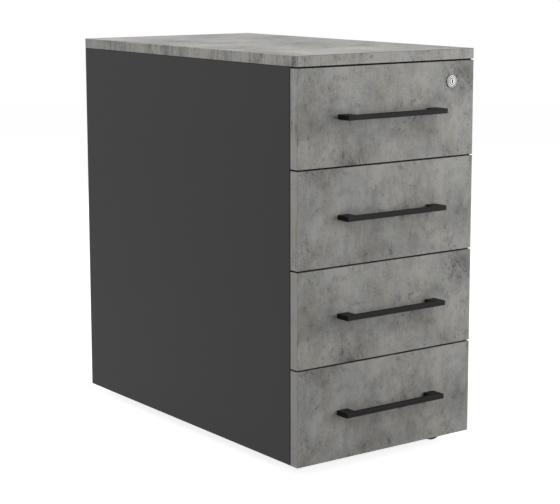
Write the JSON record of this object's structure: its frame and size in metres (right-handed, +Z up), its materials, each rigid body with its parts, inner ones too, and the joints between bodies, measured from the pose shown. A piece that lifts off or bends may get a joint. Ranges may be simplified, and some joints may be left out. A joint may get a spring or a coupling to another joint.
{
  "type": "rolling pedestal cabinet",
  "caption": "Office pedestal with full-width drawers on ball runners, bow handles, a central lock in the top drawer and concealed swivel castors.",
  "frame": {"origin": "on the floor, in the middle of the footprint including the handles", "axes": "+Z up, the drawers open towards -Y, +X to the right seen from the front"},
  "size_m": [0.4, 0.75, 0.74],
  "materials": {
    "concrete_decor": "matt melamine in a mottled mid-grey concrete decor",
    "anthracite_decor": "matt melamine in plain dark anthracite",
    "matt_black": "matt black powder coat",
    "zinc_steel": "bright zinc plate",
    "grey_enamel": "fine grey powder coat",
    "nickel": "bright nickel plate",
    "black_nylon": "moulded black nylon"
  },
  "bodies": {
    "carcass": {"top_panel": "concrete_decor", "side_panel_left": "anthracite_decor", "side_panel_right": "anthracite_decor", "back_panel": "anthracite_decor", "bottom_panel": "anthracite_decor", "cabinet_runner_1_left": "zinc_steel", "cabinet_runner_1_right": "zinc_steel", "cabinet_runner_2_left": "zinc_steel", "cabinet_runner_2_right": "zinc_steel", "cabinet_runner_3_left": "zinc_steel", "cabinet_runner_3_right": "zinc_steel", "cabinet_runner_4_left": "zinc_steel", "cabinet_runner_4_right": "zinc_steel", "castor_plate_front_left": "zinc_steel", "castor_plate_front_right": "zinc_steel", "castor_plate_rear_left": "zinc_steel", "castor_plate_rear_right": "zinc_steel", "lock_bar_guide_upper": "zinc_steel", "lock_bar_guide_lower": "zinc_steel"},
    "drawer_1": {"drawer_front_1": "concrete_decor", "handle_1": "matt_black", "drawer_tray_1": "grey_enamel", "drawer_runner_1_left": "zinc_steel", "drawer_runner_1_right": "zinc_steel", "lock_housing": "nickel"},
    "drawer_2": {"drawer_front_2": "concrete_decor", "handle_2": "matt_black", "drawer_tray_2": "grey_enamel", "drawer_runner_2_left": "zinc_steel", "drawer_runner_2_right": "zinc_steel"},
    "drawer_3": {"drawer_front_3": "concrete_decor", "handle_3": "matt_black", "drawer_tray_3": "grey_enamel", "drawer_runner_3_left": "zinc_steel", "drawer_runner_3_right": "zinc_steel"},
    "drawer_4": {"drawer_front_4": "concrete_decor", "handle_4": "matt_black", "drawer_tray_4": "grey_enamel", "drawer_runner_4_left": "zinc_steel", "drawer_runner_4_right": "zinc_steel"},
    "ball_cages_1": {"ball_cage_1_left": "zinc_steel", "ball_cage_1_right": "zinc_steel"},
    "ball_cages_2": {"ball_cage_2_left": "zinc_steel", "ball_cage_2_right": "zinc_steel"},
    "ball_cages_3": {"ball_cage_3_left": "zinc_steel", "ball_cage_3_right": "zinc_steel"},
    "ball_cages_4": {"ball_cage_4_left": "zinc_steel", "ball_cage_4_right": "zinc_steel"},
    "lock_plug": {"lock_plug": "nickel", "lock_cam": "zinc_steel"},
    "lock_bar": {"lock_bar": "zinc_steel"},
    "castor_front_left": {"castor_fork_front_left": "zinc_steel"},
    "castor_front_right": {"castor_fork_front_right": "zinc_steel"},
    "castor_rear_left": {"castor_fork_rear_left": "zinc_steel"},
    "castor_rear_right": {"castor_fork_rear_right": "zinc_steel"},
    "wheel_front_left": {"castor_wheel_front_left": "black_nylon"},
    "wheel_front_right": {"castor_wheel_front_right": "black_nylon"},
    "wheel_rear_left": {"castor_wheel_rear_left": "black_nylon"},
    "wheel_rear_right": {"castor_wheel_rear_right": "black_nylon"}
  },
  "joints": [
    {"name": "drawer_1_slide", "type": "slide", "parent": "carcass", "child": "drawer_1", "axis": [0, -1, 0], "range_m": [0, 0.45]},
    {"name": "drawer_2_slide", "type": "slide", "parent": "carcass", "child": "drawer_2", "axis": [0, -1, 0], "range_m": [0, 0.45]},
    {"name": "drawer_3_slide", "type": "slide", "parent": "carcass", "child": "drawer_3", "axis": [0, -1, 0], "range_m": [0, 0.45]},
    {"name": "drawer_4_slide", "type": "slide", "parent": "carcass", "child": "drawer_4", "axis": [0, -1, 0], "range_m": [0, 0.45]},
    {"name": "ball_cages_1_roll", "type": "slide", "parent": "carcass", "child": "ball_cages_1", "axis": [0, -1, 0], "range_m": [0, 0.225]},
    {"name": "ball_cages_2_roll", "type": "slide", "parent": "carcass", "child": "ball_cages_2", "axis": [0, -1, 0], "range_m": [0, 0.225]},
    {"name": "ball_cages_3_roll", "type": "slide", "parent": "carcass", "child": "ball_cages_3", "axis": [0, -1, 0], "range_m": [0, 0.225]},
    {"name": "ball_cages_4_roll", "type": "slide", "parent": "carcass", "child": "ball_cages_4", "axis": [0, -1, 0], "range_m": [0, 0.225]},
    {"name": "lock_turn", "type": "hinge", "parent": "drawer_1", "child": "lock_plug", "pos_m": [0.146, -0.345, 0.682], "axis": [0, 1, 0], "range_deg": [0, 90]},
    {"name": "lock_bar_lift", "type": "slide", "parent": "carcass", "child": "lock_bar", "axis": [0, 0, 1], "range_m": [0, 0.009]},
    {"name": "castor_front_left_swivel", "type": "hinge", "parent": "carcass", "child": "castor_front_left", "pos_m": [-0.13794, -0.27894, 0.05], "axis": [0, 0, 1], "continuous": true},
    {"name": "castor_front_left_roll", "type": "hinge", "parent": "castor_front_left", "child": "wheel_front_left", "pos_m": [-0.12814, -0.26151, 0.01983], "axis": [-0.8716, 0.4901, 0], "continuous": true},
    {"name": "castor_front_right_swivel", "type": "hinge", "parent": "carcass", "child": "castor_front_right", "pos_m": [0.13794, -0.27894, 0.05], "axis": [0, 0, 1], "continuous": true},
    {"name": "castor_front_right_roll", "type": "hinge", "parent": "castor_front_right", "child": "wheel_front_right", "pos_m": [0.15223, -0.29293, 0.01983], "axis": [0.6995, 0.7146, 0], "continuous": true},
    {"name": "castor_rear_left_swivel", "type": "hinge", "parent": "carcass", "child": "castor_rear_left", "pos_m": [-0.13794, 0.31894, 0.05], "axis": [0, 0, 1], "continuous": true},
    {"name": "castor_rear_left_roll", "type": "hinge", "parent": "castor_rear_left", "child": "wheel_rear_left", "pos_m": [-0.11856, 0.32388, 0.01983], "axis": [-0.247, 0.969, 0], "continuous": true},
    {"name": "castor_rear_right_swivel", "type": "hinge", "parent": "carcass", "child": "castor_rear_right", "pos_m": [0.13794, 0.31894, 0.05], "axis": [0, 0, 1], "continuous": true},
    {"name": "castor_rear_right_roll", "type": "hinge", "parent": "castor_rear_right", "child": "wheel_rear_right", "pos_m": [0.15775, 0.31616, 0.01983], "axis": [0.139, 0.9903, 0], "continuous": true}
  ],
  "couplings": [
    {"joint": "ball_cages_1_roll", "follows": "drawer_1_slide", "ratio": 0.5},
    {"joint": "ball_cages_2_roll", "follows": "drawer_2_slide", "ratio": 0.5},
    {"joint": "ball_cages_3_roll", "follows": "drawer_3_slide", "ratio": 0.5},
    {"joint": "ball_cages_4_roll", "follows": "drawer_4_slide", "ratio": 0.5},
    {"joint": "lock_turn", "follows": "lock_bar_lift", "rad_per_m": 174.53}
  ]
}
